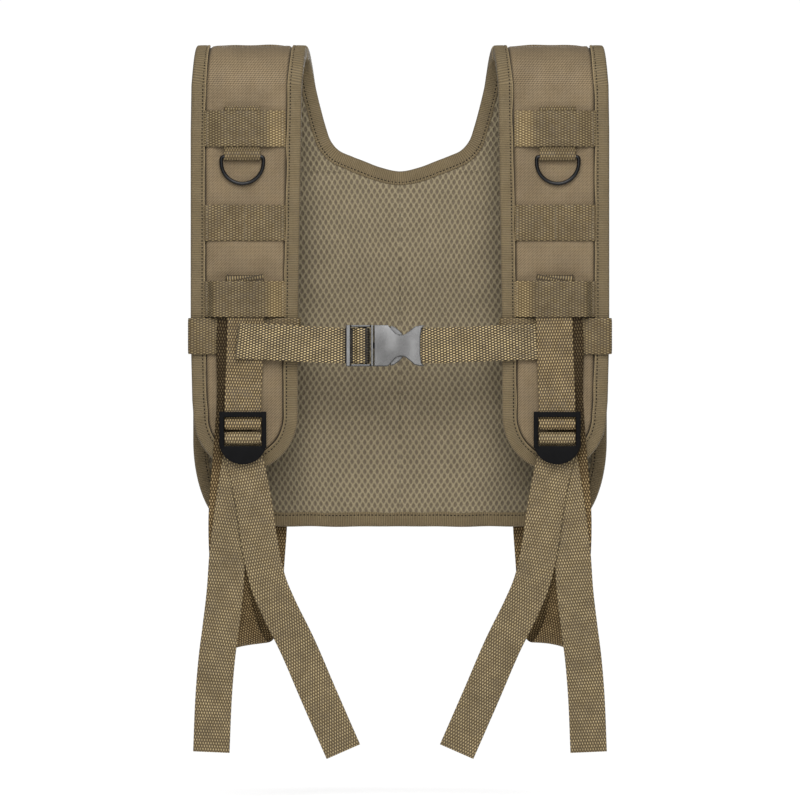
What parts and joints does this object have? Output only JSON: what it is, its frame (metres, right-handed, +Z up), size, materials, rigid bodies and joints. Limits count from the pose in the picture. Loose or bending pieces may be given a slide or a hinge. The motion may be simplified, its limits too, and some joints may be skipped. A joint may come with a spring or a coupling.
{
  "type": "binocular harness pack",
  "caption": "Padded shoulder yoke with webbing rows and D-rings, a sternum strap with a side-release buckle, and ladder locks with loose belt straps.",
  "frame": {"origin": "on the shoulder folds' axis, midway between the shoulders, where the wearer's shoulders carry the yoke", "axes": "+X to the right as the front is looked at, +Y towards the back panel, +Z up"},
  "size_m": [0.2946, 0.0774, 0.4968],
  "materials": {
    "fabric": "tan fine-woven nylon",
    "foam": "closed-cell foam, soft",
    "air_mesh": "olive-tan knitted air mesh",
    "binding": "tan ribbed edge tape",
    "webbing": "tan woven nylon webbing",
    "black_plastic": "black moulded nylon, satin",
    "buckle_plastic": "grey moulded acetal, satin"
  },
  "bodies": {
    "yoke": {"anchor_patch_left": "fabric", "anchor_patch_right": "fabric", "back_cover": "fabric", "back_foam": "foam", "back_lining": "air_mesh", "back_row_1": "webbing", "back_row_2": "webbing", "back_row_3": "webbing", "front_left_binding": "binding", "front_left_cover": "fabric", "front_left_foam": "foam", "front_left_lining": "air_mesh", "front_right_binding": "binding", "front_right_cover": "fabric", "front_right_foam": "foam", "front_right_lining": "air_mesh", "hang_loop": "webbing", "neck_binding": "binding", "panel_binding": "binding", "ring_tab_left": "webbing", "ring_tab_right": "webbing", "row_1_left": "webbing", "row_1_right": "webbing", "row_2_left": "webbing", "row_2_right": "webbing", "row_3_left": "webbing", "row_3_right": "webbing", "support_strap_left": "webbing", "support_strap_right": "webbing"},
    "ring_left": {"d_ring_left": "black_plastic"},
    "ring_right": {"d_ring_right": "black_plastic"},
    "lock_left": {"ladder_lock_left": "black_plastic", "hanger_loop_left": "webbing", "belt_strap_left": "webbing"},
    "lock_right": {"ladder_lock_right": "black_plastic", "hanger_loop_right": "webbing", "belt_strap_right": "webbing"},
    "sternum": {"keeper_band_left": "webbing", "keeper_band_right": "webbing", "sternum_strap_left": "webbing", "sternum_strap_right": "webbing", "buckle_female": "buckle_plastic"},
    "adjuster": {"buckle_male": "buckle_plastic"},
    "latch_upper": {"latch_arm_upper": "buckle_plastic"},
    "latch_lower": {"latch_arm_lower": "buckle_plastic"}
  },
  "joints": [
    {"name": "ring_left_swing", "type": "hinge", "parent": "yoke", "child": "ring_left", "pos_m": [-0.1095, -0.0311, -0.0495], "axis": [-1, 0, 0], "range_deg": [0, 150]},
    {"name": "ring_right_swing", "type": "hinge", "parent": "yoke", "child": "ring_right", "pos_m": [0.1095, -0.0311, -0.0495], "axis": [-1, 0, 0], "range_deg": [0, 150]},
    {"name": "lock_left_lift", "type": "hinge", "parent": "yoke", "child": "lock_left", "pos_m": [-0.10905, -0.0352, -0.221], "axis": [-1, 0, 0], "range_deg": [0, 60]},
    {"name": "lock_right_lift", "type": "hinge", "parent": "yoke", "child": "lock_right", "pos_m": [0.10905, -0.0352, -0.221], "axis": [-1, 0, 0], "range_deg": [0, 60]},
    {"name": "sternum_height", "type": "slide", "parent": "yoke", "child": "sternum", "axis": [0, 0, -1], "range_m": [0, 0.02]},
    {"name": "buckle_release", "type": "slide", "parent": "sternum", "child": "adjuster", "axis": [-1, 0, 0], "range_m": [0, 0.022], "deforming": ["sternum_strap_left", "latch_arm_upper", "latch_arm_lower"]},
    {"name": "latch_upper_press", "type": "hinge", "parent": "adjuster", "child": "latch_upper", "pos_m": [-0.0174, -0.0337, -0.1722], "axis": [0, 1, 0], "range_deg": [0, 8], "stiffness_Nm_per_rad": 0.1},
    {"name": "latch_lower_press", "type": "hinge", "parent": "adjuster", "child": "latch_lower", "pos_m": [-0.0174, -0.0337, -0.1894], "axis": [0, 1, 0], "range_deg": [-8, 0], "stiffness_Nm_per_rad": 0.1}
  ],
  "couplings": [
    {"joint": "latch_lower_press", "follows": "latch_upper_press", "ratio": -1}
  ]
}
